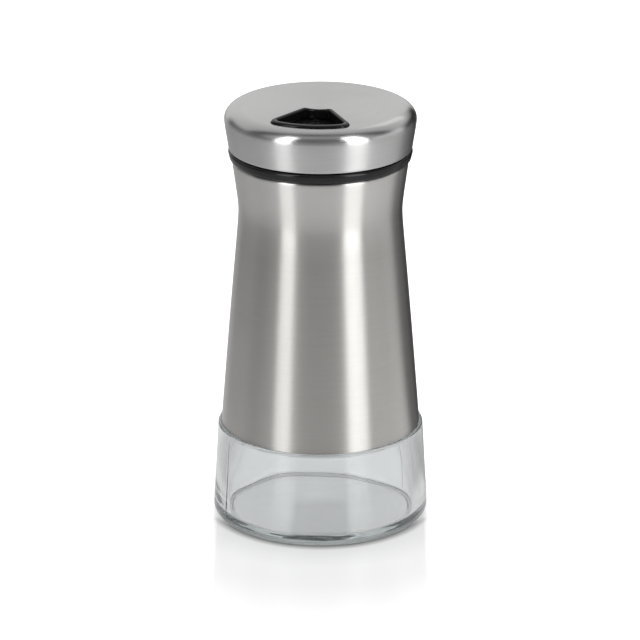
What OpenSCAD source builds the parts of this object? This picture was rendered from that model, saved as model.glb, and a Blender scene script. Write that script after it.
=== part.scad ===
// Table shaker for spices: a waisted glass jar in a steel sleeve, closed by a black threaded
// base that carries a turning steel-topped dial with one pouring window.
// Millimetres, +Z up, origin at the centre of the foot. The window faces -Y.

/* [Jar] */
// Height of the ledge that the sleeve stands on
ledge_z = 24.4; // [18:0.1:34]
// Width of the glass ledge outside the sleeve
ledge_step = 0.9; // [0.3:0.05:1.5]
// How much wider the jar's wall is at the table than at the ledge
foot_taper = 1.25; // [0:0.05:3]
// Rounding between wall and foot
foot_round = 2; // [1:0.1:4]
// Rounding of the ledge's outer edge
ledge_round = 0.8; // [0.3:0.05:1.2]
// Thickness of the jar's wall below the ledge
jar_wall = 3.3; // [1.8:0.1:4.2]
// Thickness of the jar's wall behind the sleeve
upper_wall = 2.3; // [1.6:0.1:3.2]
// Height of the shoulder where the jar turns in to its neck, under the sleeve's waist
shoulder_h = 6.5; // [4:0.5:12]
// Thickness of the jar's floor, over the ring that it stands on
jar_floor = 1.8; // [1.4:0.1:6]
// Depth of the hollow under the floor
push_up = 0.3; // [0.2:0.1:1.5]
// Depth of the dish in the floor, inside
floor_dish = 0.2; // [0:0.1:0.6]
// Width of the flat ring that the jar stands on
rest_w = 2.2; // [1.5:0.1:4]
// Rounding inside, between floor and wall
inner_round = 0.9; // [0.5:0.1:5]

/* [Sleeve] */
// Height of the sleeve
sleeve_h = 70; // [60:0.5:90]
// Thickness of the sleeve's sheet
sleeve_t = 0.4; // [0.3:0.05:0.8]
// Outer radius at the waist
waist_r = 20.64; // [19:0.02:24]
// Distance from the sleeve's top down to the waist
waist_drop = 13; // [9:0.1:20]
// Softness of the bend at the waist
waist_blend = 0.27; // [0.1:0.01:1]
// How much wider the sleeve is at the foot than at the waist
sleeve_taper = 4.6; // [2:0.1:7]
// Belly of the long lower cone
sleeve_belly = 0.14; // [0:0.01:0.6]
// Inside radius of the bend where the top edge is turned in
lip_bend = 0.2; // [0.1:0.05:1]
// Width of the neck's bead that the turned-in edge rests on
lip_seat = 0.75; // [0.4:0.05:1.2]
// Gap between glass and sleeve, filled by the two beads of adhesive
glue_gap = 0.3; // [0.15:0.05:0.6]

/* [Neck and thread] */
// Gap between the neck's bead and the sleeve's waist, which slides over it
bead_gap = 0.24; // [0.1:0.02:0.6]
// Height of the bead round the neck
bead_h = 2.6; // [1.5:0.1:4]
// Thickness of the neck's wall
neck_wall = 2.1; // [1.5:0.1:3]
// Rounding of the neck's rim
rim_round = 0.6; // [0.2:0.1:0.7]
// Height of the thread's ridge
thread_h = 0.9; // [0.6:0.05:1.2]
// Rise of the thread in one turn
pitch = 4; // [3:0.1:5]
// Width of the thread's ridge at its root
thread_w = 1.7; // [1.2:0.05:2]
// Gap between the thread's crest and the sleeve's turned-in edge
lip_gap = 0.25; // [0.15:0.05:0.5]
// Radial gap between the two threads' crests and the walls they face
thread_gap = 0.3; // [0.2:0.05:0.5]
// Gap between the two threads' flanks when the lid is closed
thread_play = 0.25; // [0.15:0.05:0.5]
// Plain wall left above and below each thread
thread_plain = 0.6; // [0.3:0.1:1]

/* [Lid base] */
// Gap between the sleeve and the ring above it
lid_gap = 0.3; // [0.2:0.05:0.6]
// Height of the ring that shows between sleeve and dial
ring_h = 2.3; // [1.5:0.1:4]
// How far the ring stands out past the cap's edge above it
ring_proud = 0.1; // [0:0.05:0.6]
// How far the ring stands out over the sleeve's top edge
ring_over = 0.6; // [0.2:0.05:1.2]
// Lean of the ring's outer face
ring_lean = 0.3; // [0:0.05:0.6]
// Rounding of the ring's edges
ring_round = 0.35; // [0.1:0.05:0.6]
// Wall of the threaded part
lid_wall = 1.3; // [0.9:0.1:2]
// Thickness of the deck with the holes
deck_t = 1.4; // [1:0.1:2]
// Height of the boss under the deck that guides the dial's post
boss_h = 1.6; // [0.8:0.1:2.5]
// Width of the boss outside the screw's washer
boss_edge = 0.6; // [0.2:0.1:1]
// Chamfer of the lid's edges
lid_edge = 0.4; // [0.2:0.1:0.6]
// Radius of a coarse hole
coarse_r = 1.1; // [0.8:0.05:1.5]
// Rows of coarse holes, each with one hole more than the last
coarse_rows = 3; // [2:1:3]
// Radius of a fine hole
fine_r = 0.75; // [0.5:0.05:0.9]
// Rows of fine holes, each with one hole more than the last
fine_rows = 4; // [3:1:5]
// Half angle of the pouring hole
pour_half = 24; // [15:1:28]
// Distance between the neck's bore and the holes in the deck
bore_margin = 0.5; // [0.3:0.1:1.5]
// Height of the raised rim round each coarse hole
hole_rim_h = 0.15; // [0.05:0.05:0.2]
// Width of the raised rim round each coarse hole
hole_rim_w = 0.3; // [0.2:0.05:0.6]

/* [Gasket] */
// Thickness of the sealing ring on the neck
gasket_t = 0.8; // [0.5:0.1:1.5]
// How far the sealing ring reaches inside the neck's bore
gasket_in = 0.4; // [0:0.1:0.8]

/* [Dial] */
// Running gap under the dial's plate and under the steel's edge
dial_gap = 0.3; // [0.25:0.05:0.5]
// Running gap between the dial's skirt and the lid's wall
skirt_gap = 0.5; // [0.3:0.05:0.8]
// Wall of the dial's skirt at its foot
skirt_wall = 1.3; // [0.9:0.1:2]
// Thickness of the dial's plate
plate_t = 1.2; // [0.9:0.1:2.2]
// Radius of the post that the dial turns on
post_r = 3; // [2.4:0.1:4]
// Running clearance of the post in the deck
post_gap = 0.08; // [0.04:0.01:0.1]
// End play of the deck between plate and washer
end_play = 0.2; // [0.1:0.05:0.4]
// Height of the detent's bump
bump_h = 0.2; // [0.1:0.05:0.22]
// Radius of the ball that the detent's bump and dimples are cut from
bump_ball = 1.4; // [1:0.1:2]

/* [Steel cap] */
// Height of the steel cap
cap_h = 10.7; // [9.5:0.1:14]
// Thickness of the cap's sheet
cap_t = 0.5; // [0.4:0.05:0.8]
// Gap between the cap's sheet and the plastic in it
fit_gap = 0.1; // [0.05:0.01:0.2]
// How far the cap widens from its edge to its widest point
cap_flare = 1.05; // [0.4:0.05:3]
// Outward lean of the cap's side at its lower edge
cap_lean = 0.13; // [0:0.01:0.3]
// Radial size of the cap's top rounding
cap_round_r = 4; // [3:0.05:6]
// Height of the cap's top rounding
cap_round_h = 3.2; // [2.6:0.1:4.5]
// Width of the edge that is curled in under the skirt
hem_w = 1.4; // [0.8:0.1:2]

/* [Window] */
// Distance of the window's outer edge from the cap's widest radius
window_margin = 4.15; // [3.5:0.05:7]
// Plastic left between the post and the window
window_web = 2.1; // [1.2:0.1:3]
// Half angle between the window's sides
window_half = 29; // [18:0.5:34]
// How far the window's sides lie outside true radii
window_side = 1.15; // [0.5:0.05:2]
// Rounding of the window's outer corners
window_round = 2.6; // [1.8:0.1:3.5]
// Rounding of the window's inner corners
window_in_round = 1.25; // [0.9:0.05:1.8]
// Width of the plastic lip at the window's outer edge
frame_out_w = 1.9; // [0.8:0.05:2.5]
// Width of the plastic lip at the window's sides
frame_side_w = 1.15; // [0.6:0.05:1.5]
// Width of the plastic lip at the window's inner edge
frame_in_w = 1; // [0.6:0.05:1.5]
// How far the lip stands above the steel
frame_proud = 0.6; // [0.1:0.05:0.8]
// Gap between the lip and the hole in the steel
frame_gap = 0.12; // [0.05:0.01:0.25]

/* [Pivot screw] */
// Radius of the screw's shank
screw_r = 1.25; // [1:0.05:1.5]
// Length of the screw's shank in the post
screw_grip = 3.4; // [2.4:0.1:4]
// Radius of the screw's head
screw_head_r = 2.6; // [2.2:0.1:3.4]
// Height of the screw's head
screw_head_h = 1.7; // [1.4:0.1:2.4]
// Rounding of the screw's head
screw_head_round = 1.2; // [0.5:0.1:1.4]
// Width of the cross recess
recess_w = 0.7; // [0.5:0.05:0.9]
// Half length of the cross recess
recess_reach = 1.55; // [1:0.05:1.8]
// Depth of the cross recess
recess_depth = 1; // [0.6:0.1:1.2]
// How far the washer reaches past the post
washer_over = 1.1; // [0.6:0.1:1.2]
// Thickness of the washer
washer_t = 0.6; // [0.4:0.1:1]

/* [Hidden] */
$fn = 96;

cut = 0.5;          // how far a cutting solid runs past what it cuts
sunk = 0.3;         // how far a thread's root is sunk into its wall
steps_turn = 36;    // flats of a thread in one turn
profile_steps = 28; // steps in the sleeve's profile
arc_steps = 8;      // steps in a quarter round
lead_in = 30;       // degrees over which a thread rises from its wall
side_pull = 0.84;   // share of the cap's side at which its curve is pulled upright
least_round = 0.4;  // the inner corners of the window keep at least this rounding

// Heights, from the table up
sleeve_top_z = ledge_z + sleeve_h;
waist_z = sleeve_top_z - waist_drop;
ring_z = sleeve_top_z + lid_gap;
ring_top_z = ring_z + ring_h;
cap_z = ring_top_z + dial_gap;
top_z = cap_z + cap_h;
plate_top_z = top_z - cap_t - fit_gap;
plate_z = plate_top_z - plate_t;
deck_top_z = plate_z - dial_gap;
deck_z = deck_top_z - deck_t;
rim_z = deck_z - gasket_t;
frame_top_z = top_z + frame_proud;
bead_top_z = sleeve_top_z - sleeve_t;
bead_z = bead_top_z - bead_h;
boss_z = deck_z - boss_h;
post_z = boss_z - end_play;
skirt_z = cap_z + cap_t + fit_gap;

// Radii, from the neck outwards
bead_r = waist_r - sleeve_t - bead_gap;
lip_r = bead_r - lip_seat;
crest_r = lip_r - lip_gap;
neck_r = crest_r - thread_h;
bore_r = neck_r - neck_wall;
lid_in_r = crest_r + thread_gap;
lid_r = lid_in_r + lid_wall;
skirt_in_r = lid_r + skirt_gap;
cap_foot_r = skirt_in_r + skirt_wall + fit_gap + cap_t;
cap_r = cap_foot_r + cap_flare;
ring_r = cap_foot_r + ring_proud;
sleeve_top_r = ring_r - ring_lean - ring_over;
sleeve_foot_r = waist_r + sleeve_taper;
ledge_r = sleeve_foot_r + ledge_step;
foot_r = ledge_r + foot_taper;
rest_r = foot_r - foot_round;
hole_limit_r = bore_r - bore_margin;
window_out_r = cap_r - window_margin;
window_in_r = post_r + window_web;
washer_r = post_r + washer_over;
// The cap's widest point lies where its top rounding begins
cap_side_h = cap_h - cap_round_h;

// Sleeve's outer radius at a height: two straight flanks joined by a hyperbola, with a belly below
function sleeve_r(z) =
    let (corner_r = waist_r - waist_blend,
         low = (sleeve_foot_r - corner_r) * (waist_z - z) / (waist_z - ledge_z),
         high = (sleeve_top_r - corner_r) * (z - waist_z) / waist_drop,
         along = max(0, min(1, (z - ledge_z) / (waist_z - ledge_z))))
    corner_r + (low + high) / 2 + sqrt(pow((low - high) / 2, 2) + pow(waist_blend, 2))
        + sleeve_belly * 4 * along * (1 - along);
function jar_r(z) = sleeve_r(z) - sleeve_t - glue_gap;

// Heights at which the sleeve, the adhesive and the glass share their corners
lip_round = lip_bend + sleeve_t;
side_top_z = sleeve_top_z - lip_round;
function step_z(i) = ledge_z + i * (side_top_z - ledge_z) / profile_steps;
// The glass follows the sleeve up to this step, and then turns in to the neck
shoulder_step =
    floor(profile_steps * (waist_z - shoulder_h - ledge_z) / (side_top_z - ledge_z));

// Points of an arc about c, from angle a to angle b
function arc(c, r, a, b, n = arc_steps) =
    [for (i = [0 : n]) c + r * [cos(a + (b - a) * i / n), sin(a + (b - a) * i / n)]];
// Half a smooth step between two points, level with the axis at both ends
function ease(p, q, n = 6) =
    [for (i = [0 : n]) let (t = i / n, s = (1 - cos(180 * t)) / 2)
        [p[0] + (q[0] - p[0]) * s, p[1] + (q[1] - p[1]) * t]];
// Points of a cubic curve
function cubic(a, b, c, d, n = arc_steps) =
    [for (i = [0 : n]) let (t = i / n, u = 1 - t)
        u * u * u * a + 3 * u * u * t * b + 3 * u * t * t * c + t * t * t * d];

// One thread: a ridge wound on a wall. dir is 1 on a neck and -1 inside a lid.
module thread(wall_r, dir, turns) {
    steps = ceil(steps_turn * turns);
    root_r = wall_r - dir * sunk;
    ring = [for (i = [0 : steps])
        let (turn = turns * i / steps,
             rise = min(1, turn * 360 / lead_in, (turns - turn) * 360 / lead_in),
             crest = root_r + dir * (sunk / 2 + (sunk / 2 + thread_h) * rise),
             z = pitch * turn, c = cos(360 * turn), s = sin(360 * turn))
        [[root_r * c, root_r * s, z - thread_w / 2],
         [crest * c, crest * s, z - thread_w / 4],
         [crest * c, crest * s, z + thread_w / 4],
         [root_r * c, root_r * s, z + thread_w / 2]]];
    points = [for (r = ring) each r];
    sides = [for (i = [0 : steps - 1], k = [0 : 3]) let (j = (k + 1) % 4)
        each [[4 * i + k, 4 * i + j, 4 * i + 4 + j], [4 * i + k, 4 * i + 4 + j, 4 * i + 4 + k]]];
    ends = [[3, 2, 1, 0], [for (k = [0 : 3]) 4 * steps + k]];
    faces = concat(sides, ends);
    polyhedron(points, dir > 0 ? faces : [for (f = faces) [for (k = [len(f) - 1 : -1 : 0]) f[k]]]);
}

// Height of each thread's first turn, and as many turns as there is room for
neck_thread_z = bead_top_z + thread_plain + thread_w / 2;
neck_turns = (rim_z - bead_top_z - 2 * thread_plain - thread_w) / pitch;
lid_thread_z = ring_z + thread_plain + thread_w / 2;
lid_turns = (rim_z - ring_z - 2 * thread_plain - thread_w) / pitch;
// The lid's thread lies under the neck's, with their flanks thread_play apart. The ridges are half
// as wide at the crest as at the sunk root, so each has this mean width where the other's crest is.
flank_w = thread_w * (1.5 - (thread_gap + sunk) / (thread_h + sunk) / 2) / 2;
lid_thread_turn = 360 * (lid_thread_z - neck_thread_z + flank_w + thread_play) / pitch;

// Window's outline, drawn in by these widths at its outer edge, its sides and its inner edge.
// It is symmetric about -Y.
function window_outline(out_w, side_w, in_w) =
    let (out_r = window_out_r - out_w, in_r = window_in_r + in_w, side = window_side - side_w,
         round_r = window_round - side_w,
         in_round_r = max(window_in_round - side_w, least_round),
         along = [sin(window_half), -cos(window_half)],
         across = [cos(window_half), sin(window_half)],
         centre = (side - round_r) * across
             + sqrt(pow(out_r - round_r, 2) - pow(side - round_r, 2)) * along,
         inner = (side - in_round_r) * across
             + sqrt(pow(in_r + in_round_r, 2) - pow(side - in_round_r, 2)) * along,
         centre_a = atan2(centre[1], centre[0]),
         inner_a = atan2(inner[1], inner[0]),
         half = concat(arc([0, 0], out_r, -90, centre_a),
                       arc(centre, round_r, centre_a, window_half, arc_steps),
                       arc(inner, in_round_r, window_half, inner_a + 180, 4),
                       arc([0, 0], in_r, inner_a, -90)))
    concat(half, [for (i = [len(half) - 2 : -1 : 1]) [-half[i][0], half[i][1]]]);

// A sector between two radii, about the direction a
function sector(in_r, out_r, half, a) =
    concat(arc([0, 0], out_r, a - half, a + half, 12), arc([0, 0], in_r, a + half, a - half, 12));

// Places of the holes of a triangle of rows, about the direction a
function hole_places(rows, hole_r, a) =
    let (first = window_in_r + frame_in_w + hole_r,
         step = (hole_limit_r - hole_r - first) / (rows - 1))
    [for (i = [0 : rows - 1], j = [0 : i])
        let (r = first + i * step, turn = a + (j - i / 2) * step / r * 180 / PI)
        r * [cos(turn), sin(turn)]];

module glass_jar() {
    outside = concat(
        [[0, push_up]],
        ease([rest_r - rest_w - push_up * 2, push_up], [rest_r - rest_w, 0]),
        arc([rest_r, foot_round], foot_round, -90, 0),
        arc([ledge_r - ledge_round, ledge_z - ledge_round], ledge_round, 0, 90, 6),
        [for (i = [0 : shoulder_step]) [jar_r(step_z(i)), step_z(i)]],
        ease([jar_r(step_z(shoulder_step)), step_z(shoulder_step)], [neck_r, waist_z]),
        [[neck_r, bead_z - (bead_r - neck_r) / 2], [bead_r, bead_z], [bead_r, bead_top_z],
         [neck_r, bead_top_z]],
        arc([neck_r - rim_round, rim_z - rim_round], rim_round, 0, 90, 4));
    inside_z = push_up + jar_floor;
    inside_foot_r = ledge_r + foot_taper * (ledge_z - inside_z) / ledge_z - jar_wall;
    inside = concat(
        [[bore_r, rim_z], [bore_r, waist_z]],
        [for (i = [shoulder_step : -1 : 1]) [jar_r(step_z(i)) - upper_wall, step_z(i)]],
        arc([inside_foot_r - inner_round, inside_z + inner_round], inner_round, 0, -90, 7),
        [[0, inside_z - floor_dish]]);
    color([0.82, 0.87, 0.86, 0.4]) {
        rotate_extrude() polygon(concat(outside, inside));
        translate([0, 0, neck_thread_z]) thread(neck_r, 1, neck_turns);
    }
}

module steel_sleeve() {
    bend = [sleeve_r(side_top_z) - lip_round, sleeve_top_z - lip_round];
    color([0.72, 0.71, 0.69]) rotate_extrude() polygon(concat(
        [for (i = [0 : profile_steps]) [sleeve_r(step_z(i)), step_z(i)]],
        arc(bend, lip_round, 0, 90),
        [[lip_r, sleeve_top_z], [lip_r, bead_top_z]],
        arc(bend, lip_round - sleeve_t, 90, 0),
        [for (i = [profile_steps : -1 : 0]) [sleeve_r(step_z(i)) - sleeve_t, step_z(i)]]));
}

// Two bonding beads between glass and sleeve
module sleeve_adhesive() {
    bead_steps = 2;
    color([0.9, 0.9, 0.86, 0.6])
    for (first = [2, shoulder_step - bead_steps - 1])
        rotate_extrude() polygon(concat(
            [for (i = [first : first + bead_steps]) [sleeve_r(step_z(i)) - sleeve_t, step_z(i)]],
            [for (i = [first + bead_steps : -1 : first]) [jar_r(step_z(i)), step_z(i)]]));
}

module lid_base() {
    ring_foot_r = ring_r - ring_lean;
    color([0.1, 0.1, 0.11]) {
        difference() {
            union() {
                rotate_extrude() polygon(concat(
                    [[lid_in_r + lid_edge, ring_z]],
                    arc([ring_foot_r - ring_round, ring_z + ring_round], ring_round, -90, 0, 4),
                    arc([ring_r - ring_round, ring_top_z - ring_round], ring_round, 0, 90, 4),
                    [[lid_r, ring_top_z], [lid_r, deck_top_z - lid_edge],
                     [lid_r - lid_edge, deck_top_z], [0, deck_top_z], [0, boss_z],
                     [washer_r + boss_edge, boss_z], [washer_r + boss_edge, deck_z],
                     [lid_in_r, deck_z], [lid_in_r, ring_z + lid_edge]]));
                for (p = hole_places(coarse_rows, coarse_r, -90))
                    translate([p[0], p[1], deck_top_z - cut])
                        cylinder(r = coarse_r + hole_rim_w, h = cut + hole_rim_h, $fn = 32);
            }
            translate([0, 0, boss_z - cut])
                cylinder(r = post_r + post_gap, h = boss_h + deck_t + 2 * cut);
            for (p = hole_places(coarse_rows, coarse_r, -90))
                translate([p[0], p[1], deck_z - cut])
                    cylinder(r = coarse_r, h = deck_t + 2 * cut, $fn = 32);
            for (p = hole_places(fine_rows, fine_r, 0))
                translate([p[0], p[1], deck_z - cut])
                    cylinder(r = fine_r, h = deck_t + 2 * cut, $fn = 24);
            translate([0, 0, deck_z - cut]) linear_extrude(deck_t + 2 * cut)
                polygon(sector(window_in_r + frame_in_w, hole_limit_r, pour_half, 90));
            for (a = [45 : 90 : 315]) detent(a, bump_h);
        }
        rotate(lid_thread_turn) translate([0, 0, lid_thread_z]) thread(lid_in_r, -1, lid_turns);
    }
}

// Ball whose lowest point lies h below the deck's top, on the circle of the neck's rim. It cuts a
// dimple in the deck, and the same ball shapes the bump under the dial's plate.
module detent(a, h) {
    rotate(a) translate([bore_r + neck_wall / 2, 0, deck_top_z - h + bump_ball]) sphere(bump_ball);
}

module lid_gasket() {
    color([0.78, 0.78, 0.76]) translate([0, 0, rim_z]) difference() {
        cylinder(r = lid_in_r - thread_gap, h = gasket_t);
        translate([0, 0, -cut]) cylinder(r = bore_r - gasket_in, h = gasket_t + 2 * cut);
    }
}

// The cap's outer side, drawn in by d, from its lower edge to the flat top
function cap_side(d) =
    concat(cubic([cap_foot_r - d, cap_z],
                 [cap_foot_r - d + cap_lean * cap_side_h / 3, cap_z + cap_side_h / 3],
                 [cap_r - d, cap_z + cap_side_h * side_pull], [cap_r - d, cap_z + cap_side_h]),
           [for (i = [1 : arc_steps]) let (a = 90 * i / arc_steps)
               [cap_r - cap_round_r + (cap_round_r - d) * cos(a),
                top_z - cap_round_h + (cap_round_h - d) * sin(a)]]);

module dial_insert() {
    inner = cap_t + fit_gap;
    color([0.07, 0.07, 0.075]) difference() {
        union() {
            intersection() {
                rotate_extrude() polygon(concat(cap_side(inner), [[0, top_z - inner], [0, cap_z]]));
                translate([0, 0, skirt_z]) cylinder(r = 2 * cap_r, h = plate_top_z - skirt_z);
            }
            translate([0, 0, plate_z]) linear_extrude(frame_top_z - plate_z)
                polygon(window_outline(0, 0, 0));
        }
        difference() {
            translate([0, 0, cap_z - cut]) cylinder(r = skirt_in_r, h = plate_z - cap_z + cut);
            translate([0, 0, post_z]) cylinder(r = post_r, h = plate_z);
            detent(45, bump_h - dial_gap);
        }
        translate([0, 0, plate_z - cut]) linear_extrude(frame_top_z - plate_z + 2 * cut)
            polygon(window_outline(frame_out_w, frame_side_w, frame_in_w));
        translate([0, 0, post_z - cut]) cylinder(r = screw_r, h = screw_grip + cut, $fn = 32);
    }
}

module steel_cap() {
    color([0.76, 0.76, 0.76]) difference() {
        union() {
            difference() {
                rotate_extrude() polygon(concat(cap_side(0), [[0, top_z], [0, cap_z]]));
                rotate_extrude() polygon(concat(cap_side(cap_t),
                    [[0, top_z - cap_t], [0, cap_z - cut], [cap_foot_r - cap_t, cap_z - cut]]));
            }
            translate([0, 0, cap_z]) difference() {
                cylinder(r = cap_foot_r - cap_t / 2, h = cap_t);
                translate([0, 0, -cut]) cylinder(r = cap_foot_r - hem_w, h = cap_t + 2 * cut);
            }
        }
        translate([0, 0, top_z - cap_t - cut]) linear_extrude(cap_t + 2 * cut)
            polygon(window_outline(-frame_gap, -frame_gap, -frame_gap));
    }
}

module pivot_screw() {
    seat_z = post_z - washer_t;
    head_z = seat_z - screw_head_h;
    round_r = screw_head_round;
    color([0.75, 0.75, 0.74]) difference() {
        rotate_extrude() polygon(concat(
            [[0, head_z]],
            arc([screw_head_r - round_r, head_z + round_r], round_r, -90, 0, 5),
            [[screw_head_r, seat_z], [screw_r, seat_z], [screw_r, post_z + screw_grip],
             [0, post_z + screw_grip]]));
        for (a = [0, 90]) rotate(a) translate([-recess_reach, -recess_w / 2, head_z - cut])
            cube([2 * recess_reach, recess_w, cut + recess_depth]);
    }
}

module pivot_washer() {
    color([0.7, 0.7, 0.69]) translate([0, 0, post_z - washer_t]) difference() {
        cylinder(r = washer_r, h = washer_t);
        translate([0, 0, -cut]) cylinder(r = screw_r + fit_gap, h = washer_t + 2 * cut, $fn = 32);
    }
}

glass_jar();
steel_sleeve();
sleeve_adhesive();
lid_base();
lid_gasket();
dial_insert();
steel_cap();
pivot_screw();
pivot_washer();
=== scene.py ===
"""Looks of a table shaker for spices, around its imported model.

A waisted glass jar stands in a brushed steel sleeve and is closed by a black threaded base that
carries a turning steel-topped dial. Sizes are in millimetres until a mesh is made.
"""

import math
from functools import partial

import bpy
import numpy as np
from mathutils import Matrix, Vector
from mathutils.geometry import delaunay_2d_cdt


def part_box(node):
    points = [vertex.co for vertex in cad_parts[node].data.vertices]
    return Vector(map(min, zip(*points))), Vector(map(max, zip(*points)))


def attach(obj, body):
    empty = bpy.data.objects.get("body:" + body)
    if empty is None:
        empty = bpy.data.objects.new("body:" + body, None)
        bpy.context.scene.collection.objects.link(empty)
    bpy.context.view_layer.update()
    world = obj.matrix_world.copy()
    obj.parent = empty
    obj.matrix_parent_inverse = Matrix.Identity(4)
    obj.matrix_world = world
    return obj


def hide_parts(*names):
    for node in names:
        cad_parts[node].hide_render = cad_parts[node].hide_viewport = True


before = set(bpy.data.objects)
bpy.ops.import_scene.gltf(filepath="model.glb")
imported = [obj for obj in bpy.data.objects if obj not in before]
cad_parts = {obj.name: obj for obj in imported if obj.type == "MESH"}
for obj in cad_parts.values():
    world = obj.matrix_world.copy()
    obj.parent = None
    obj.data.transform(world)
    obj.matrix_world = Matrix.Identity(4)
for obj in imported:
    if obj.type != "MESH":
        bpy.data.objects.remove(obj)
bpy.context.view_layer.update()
scene = bpy.context.scene

MM = 0.001
CAMERA_AZIMUTH = 9.3        # degrees from the window's side, towards +X


def extent(node):
    """Lowest height, highest height and greatest radius of a round CAD node, in millimetres."""
    low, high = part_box(node)
    return low.z / MM, high.z / MM, high.x / MM


# ---- sizes, from the frame outwards

_, RIM_Z, FOOT_R = extent("glass_jar")
LEDGE_Z, SLEEVE_TOP_Z, SLEEVE_FOOT_R = extent("steel_sleeve")
RING_Z, LID_TOP_Z, RING_R = extent("lid_base")
_, DECK_Z, GASKET_R = extent("lid_gasket")
SKIRT_Z, FRAME_TOP_Z, _ = extent("dial_insert")
CAP_Z, TOP_Z, CAP_R = extent("steel_cap")
WASHER_Z, POST_Z, WASHER_R = extent("pivot_washer")

# Jar
LEDGE_STEP = 0.9
FOOT_TAPER = 1.25
FOOT_ROUND = 2.0
LEDGE_ROUND = 0.8
JAR_WALL = 3.3
UPPER_WALL = 2.3
SHOULDER_H = 6.5
JAR_FLOOR = 1.8
PUSH_UP = 0.3
FLOOR_DISH = 0.2
REST_W = 2.2
INNER_ROUND = 0.9
INNER_BEND_H = 2.5
SEAM_ANGLES = (-142.7, 37.3)   # degrees, the two halves of the mould
SEAM_SPAN = 1.4
SEAM_H = 0.1
SEAM_W = 0.16
SEAM_FADES = (1.0, 1.5, 0.5)   # height where it starts, and lengths over which it grows and ends
WAVES = ((3, 0.35, 0, 0.05), (7, -0.21, 1.3, 0.025))    # cycles a turn, radians a mm, start, height
WAVE_FADE = 20

# Sleeve
SLEEVE_T = 0.4
WAIST_R = 20.64
WAIST_DROP = 13.0
WAIST_BLEND = 0.27
SLEEVE_BELLY = 0.14
LIP_BEND = 0.2
LIP_SEAT = 0.75
SLEEVE_EDGE = 0.12
GLUE_GAP = 0.3
GLUE_HOLLOW = 0.3

# Neck and thread
BEAD_GAP = 0.24
BEAD_H = 2.6
BEAD_ROUND = 0.35
NECK_WALL = 2.1
RIM_ROUND = 0.6
THREAD_H = 0.9
PITCH = 4.0
THREAD_W = 1.7
LIP_GAP = 0.25
THREAD_GAP = 0.3
THREAD_PLAY = 0.25
THREAD_PLAIN = 0.6
THREAD_SUNK = 0.3
LEAD_IN = 30.0
THREAD_END = 0.1               # kept clear at a wall's end
LID_THREAD_END = 0.5
GASKET_REACH = 0.4
GASKET_EDGE = 0.12
GROOVES = 3                    # in each face of the seal
GROOVE = 0.04

# Lid base
RING_H = 2.3
RING_LEAN = 0.3
RING_OVER = 0.6
RING_ROUND = 0.35
RING_CROWN = 0.7
LID_WALL = 1.3
BOSS_H = 1.6
BOSS_EDGE = 0.6
BOSS_ROUND = 0.3
LID_EDGE = 0.4
LID_FILLET = 0.3
COARSE_R = 1.1
COARSE_ROWS = 3
FINE_R = 0.75
FINE_ROWS = 4
POUR_HALF = 24.0
POUR_ROUND = 0.6
BORE_MARGIN = 0.5
HOLE_RIM_H = 0.15
HOLE_RIM_W = 0.3
HOLE_EDGE = 0.12
DETENT_TURNS = (45, 135, 225, 315)

# Dial and steel cap
PLATE_T = 1.2
POST_R = 3.0
POST_GAP = 0.08
POST_ROUND = 0.2
SKIRT_GAP = 0.5
SKIRT_EDGE = 0.2
SKIRT_SLACK = 0.05
SKIRT_LEAN = 0.02
BUMP_H = 0.2
BUMP_BALL = 1.4
DIAL_GAP = 0.3
CAP_T = 0.5
FIT_GAP = 0.1
CAP_FLARE = 1.05
CAP_LEAN = 0.13
CAP_ROUND_R = 4.0
CAP_ROUND_H = 3.2
SIDE_PULL = 0.84
CAP_EDGE = 0.26
HEM_W = 1.4
HEM_ROUND = 0.2
HEM_TURN = 0.1
PUNCHED_EDGE = 0.13
FLAT_SLACK = 0.3               # how far the flat top reaches into the rounding
SCREW_R = 1.25
SCREW_GRIP = 3.4
WASHER_EDGE = 0.15

# Window
WINDOW_MARGIN = 4.15
WINDOW_WEB = 2.1
WINDOW_HALF = 29.0
WINDOW_SIDE = 1.15
WINDOW_ROUND = 2.6
WINDOW_IN_ROUND = 1.25
LEAST_ROUND = 0.4
FRAME_OUT_W = 1.9
FRAME_SIDE_W = 1.15
FRAME_IN_W = 1.0
FRAME_GAP = 0.12
FRAME_CROWN = 0.45
FRAME_POWER = 2.3
FRAME_EDGE = 0.15

# Heights and radii that follow
WAIST_Z = SLEEVE_TOP_Z - WAIST_DROP
BEAD_TOP_Z = SLEEVE_TOP_Z - SLEEVE_T
BEAD_Z = BEAD_TOP_Z - BEAD_H
RING_TOP_Z = RING_Z + RING_H
DECK_TOP_Z = LID_TOP_Z - HOLE_RIM_H
BOSS_Z = DECK_Z - BOSS_H
PLATE_TOP_Z = TOP_Z - CAP_T - FIT_GAP
PLATE_Z = PLATE_TOP_Z - PLATE_T

LEDGE_R = SLEEVE_FOOT_R + LEDGE_STEP
REST_R = FOOT_R - FOOT_ROUND
REST_IN_R = REST_R - REST_W
SLEEVE_TOP_R = RING_R - RING_LEAN - RING_OVER
BEAD_R = WAIST_R - SLEEVE_T - BEAD_GAP
LIP_R = BEAD_R - LIP_SEAT
CREST_R = LIP_R - LIP_GAP
NECK_R = CREST_R - THREAD_H
BORE_R = NECK_R - NECK_WALL
GASKET_IN_R = BORE_R - GASKET_REACH
DETENT_R = BORE_R + NECK_WALL / 2
LID_IN_R = CREST_R + THREAD_GAP
LID_R = LID_IN_R + LID_WALL
SKIRT_IN_R = LID_R + SKIRT_GAP
CAP_FOOT_R = CAP_R - CAP_FLARE
CAP_SIDE_H = TOP_Z - CAP_Z - CAP_ROUND_H
HOLE_LIMIT_R = BORE_R - BORE_MARGIN
WINDOW_OUT_R = CAP_R - WINDOW_MARGIN
WINDOW_IN_R = POST_R + WINDOW_WEB
FIRST_HOLE_R = WINDOW_IN_R + FRAME_IN_W


# ---- profiles and outlines

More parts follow.
